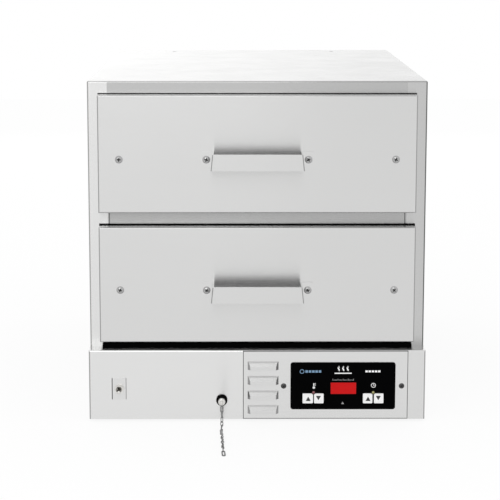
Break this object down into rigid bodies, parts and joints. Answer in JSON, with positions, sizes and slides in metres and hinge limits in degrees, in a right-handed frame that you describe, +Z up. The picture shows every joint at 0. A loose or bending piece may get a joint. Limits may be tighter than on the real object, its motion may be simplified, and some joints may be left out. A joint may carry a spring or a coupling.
{
  "type": "countertop warming drawer",
  "caption": "Countertop warming drawer: brushed-steel case with sliding insulated drawers on rollers, lift-out food pans, water tank and drain, over a base with toggle switch and key panel.",
  "frame": {"origin": "under the middle of the object's box, on the surface it stands on", "axes": "+Z up, -Y towards the user at the drawer fronts, +X to the user's right"},
  "size_m": [0.508, 0.8486, 0.5149],
  "materials": {
    "brushed_steel": "horizontally brushed stainless sheet",
    "inner_steel": "mill-finish stainless sheet",
    "pan_steel": "deep-drawn bright stainless",
    "tank_steel": "deep-drawn stainless",
    "polished_screw": "polished stainless heads",
    "insulation": "mineral-wool board",
    "black_rubber": "matt black rubber",
    "silicone": "dark grey silicone",
    "zinc_steel": "zinc-plated steel",
    "roller_plastic": "white nylon",
    "heater_sheath": "dull alloy heater sheath",
    "overlay_black": "glossy black overlay",
    "window_red": "red display lens",
    "lamp_lens": "small lamp lens",
    "key_white": "white key",
    "board_green": "circuit board",
    "core_iron": "lacquered laminations",
    "black_plastic": "black moulded plastic",
    "cream_plastic": "cream moulded plastic",
    "switch_nickel": "nickel plate",
    "copper_pipe": "brass drain pipe",
    "chain_nickel": "nickel-plated chain"
  },
  "bodies": {
    "cabinet": {"outer_wrap": "brushed_steel", "mid_rail": "brushed_steel", "sill_seal": "black_rubber", "cavity_liner": "inner_steel", "insulation_jacket": "insulation", "rear_panel": "inner_steel", "base_tray": "brushed_steel", "base_fascia": "brushed_steel", "evaporator_tank": "tank_steel", "evaporator_heater": "heater_sheath", "air_heater": "heater_sheath", "temperature_probe": "tank_steel", "drain_pipe": "copper_pipe", "control_plate": "brushed_steel", "control_overlay": "overlay_black", "display_window": "window_red", "indicator_leds": "lamp_lens", "control_board": "board_green", "transformer": "core_iron", "terminal_block": "cream_plastic", "switch_plate": "brushed_steel", "toggle_switch": "switch_nickel", "power_inlet": "black_plastic", "feet": "black_rubber", "casing_screws": "polished_screw", "slide_channel_lower_left": "zinc_steel", "slide_channel_lower_right": "zinc_steel", "slide_channel_upper_left": "zinc_steel", "slide_channel_upper_right": "zinc_steel"},
    "drawer_lower": {"front_panel_lower": "brushed_steel", "front_backer_lower": "inner_steel", "gasket_lower": "silicone", "handle_lower": "brushed_steel", "front_screws_lower": "polished_screw", "pan_carrier_lower": "inner_steel", "food_pan_lower": "pan_steel"},
    "drawer_upper": {"front_panel_upper": "brushed_steel", "front_backer_upper": "inner_steel", "gasket_upper": "silicone", "handle_upper": "brushed_steel", "front_screws_upper": "polished_screw", "pan_carrier_upper": "inner_steel", "food_pan_upper": "pan_steel"},
    "front_roller_lower_left": {"front_roller_lower_left": "roller_plastic"},
    "back_roller_lower_left": {"back_roller_lower_left": "roller_plastic"},
    "front_roller_lower_right": {"front_roller_lower_right": "roller_plastic"},
    "back_roller_lower_right": {"back_roller_lower_right": "roller_plastic"},
    "front_roller_upper_left": {"front_roller_upper_left": "roller_plastic"},
    "back_roller_upper_left": {"back_roller_upper_left": "roller_plastic"},
    "front_roller_upper_right": {"front_roller_upper_right": "roller_plastic"},
    "back_roller_upper_right": {"back_roller_upper_right": "roller_plastic"},
    "key_1": {"key_1": "key_white"},
    "key_2": {"key_2": "key_white"},
    "key_3": {"key_3": "key_white"},
    "key_4": {"key_4": "key_white"},
    "toggle_lever": {"toggle_lever": "switch_nickel"},
    "drain_plug": {"drain_stopper": "black_rubber", "stopper_cap": "polished_screw", "drain_chain": "chain_nickel", "chain_ring": "chain_nickel"}
  },
  "joints": [
    {"name": "drawer_lower_slide", "type": "slide", "parent": "cabinet", "child": "drawer_lower", "axis": [0, -1, 0], "range_m": [0, 0.46]},
    {"name": "drawer_upper_slide", "type": "slide", "parent": "cabinet", "child": "drawer_upper", "axis": [0, -1, 0], "range_m": [0, 0.46]},
    {"name": "front_roller_lower_left_spin", "type": "hinge", "parent": "cabinet", "child": "front_roller_lower_left", "pos_m": [-0.2121, -0.2585, 0.1512], "axis": [1, 0, 0], "continuous": true},
    {"name": "back_roller_lower_left_spin", "type": "hinge", "parent": "drawer_lower", "child": "back_roller_lower_left", "pos_m": [-0.2121, 0.2655, 0.1487], "axis": [1, 0, 0], "continuous": true},
    {"name": "front_roller_lower_right_spin", "type": "hinge", "parent": "cabinet", "child": "front_roller_lower_right", "pos_m": [0.2121, -0.2585, 0.1512], "axis": [1, 0, 0], "continuous": true},
    {"name": "back_roller_lower_right_spin", "type": "hinge", "parent": "drawer_lower", "child": "back_roller_lower_right", "pos_m": [0.2121, 0.2655, 0.1487], "axis": [1, 0, 0], "continuous": true},
    {"name": "front_roller_upper_left_spin", "type": "hinge", "parent": "cabinet", "child": "front_roller_upper_left", "pos_m": [-0.2121, -0.2585, 0.3494], "axis": [1, 0, 0], "continuous": true},
    {"name": "back_roller_upper_left_spin", "type": "hinge", "parent": "drawer_upper", "child": "back_roller_upper_left", "pos_m": [-0.2121, 0.2655, 0.3469], "axis": [1, 0, 0], "continuous": true},
    {"name": "front_roller_upper_right_spin", "type": "hinge", "parent": "cabinet", "child": "front_roller_upper_right", "pos_m": [0.2121, -0.2585, 0.3494], "axis": [1, 0, 0], "continuous": true},
    {"name": "back_roller_upper_right_spin", "type": "hinge", "parent": "drawer_upper", "child": "back_roller_upper_right", "pos_m": [0.2121, 0.2655, 0.3469], "axis": [1, 0, 0], "continuous": true},
    {"name": "key_1_press", "type": "slide", "parent": "cabinet", "child": "key_1", "axis": [0, 1, 0], "range_m": [0, 0.0005], "stiffness_N_per_m": 800},
    {"name": "key_2_press", "type": "slide", "parent": "cabinet", "child": "key_2", "axis": [0, 1, 0], "range_m": [0, 0.0005], "stiffness_N_per_m": 800},
    {"name": "key_3_press", "type": "slide", "parent": "cabinet", "child": "key_3", "axis": [0, 1, 0], "range_m": [0, 0.0005], "stiffness_N_per_m": 800},
    {"name": "key_4_press", "type": "slide", "parent": "cabinet", "child": "key_4", "axis": [0, 1, 0], "range_m": [0, 0.0005], "stiffness_N_per_m": 800},
    {"name": "toggle_lever_tip", "type": "hinge", "parent": "cabinet", "child": "toggle_lever", "pos_m": [-0.2085, -0.325, 0.0517], "axis": [-1, 0, 0], "range_deg": [0, 26]},
    {"name": "drain_plug_pull", "type": "slide", "parent": "cabinet", "child": "drain_plug", "axis": [0, -1, 0], "range_m": [0, 0.03]}
  ],
  "couplings": [
    {"joint": "front_roller_lower_left_spin", "follows": "drawer_lower_slide", "rad_per_m": 83.333},
    {"joint": "back_roller_lower_left_spin", "follows": "drawer_lower_slide", "rad_per_m": 103.09},
    {"joint": "front_roller_lower_right_spin", "follows": "drawer_lower_slide", "rad_per_m": 83.333},
    {"joint": "back_roller_lower_right_spin", "follows": "drawer_lower_slide", "rad_per_m": 103.09},
    {"joint": "front_roller_upper_left_spin", "follows": "drawer_upper_slide", "rad_per_m": 83.333},
    {"joint": "back_roller_upper_left_spin", "follows": "drawer_upper_slide", "rad_per_m": 103.09},
    {"joint": "front_roller_upper_right_spin", "follows": "drawer_upper_slide", "rad_per_m": 83.333},
    {"joint": "back_roller_upper_right_spin", "follows": "drawer_upper_slide", "rad_per_m": 103.09}
  ]
}
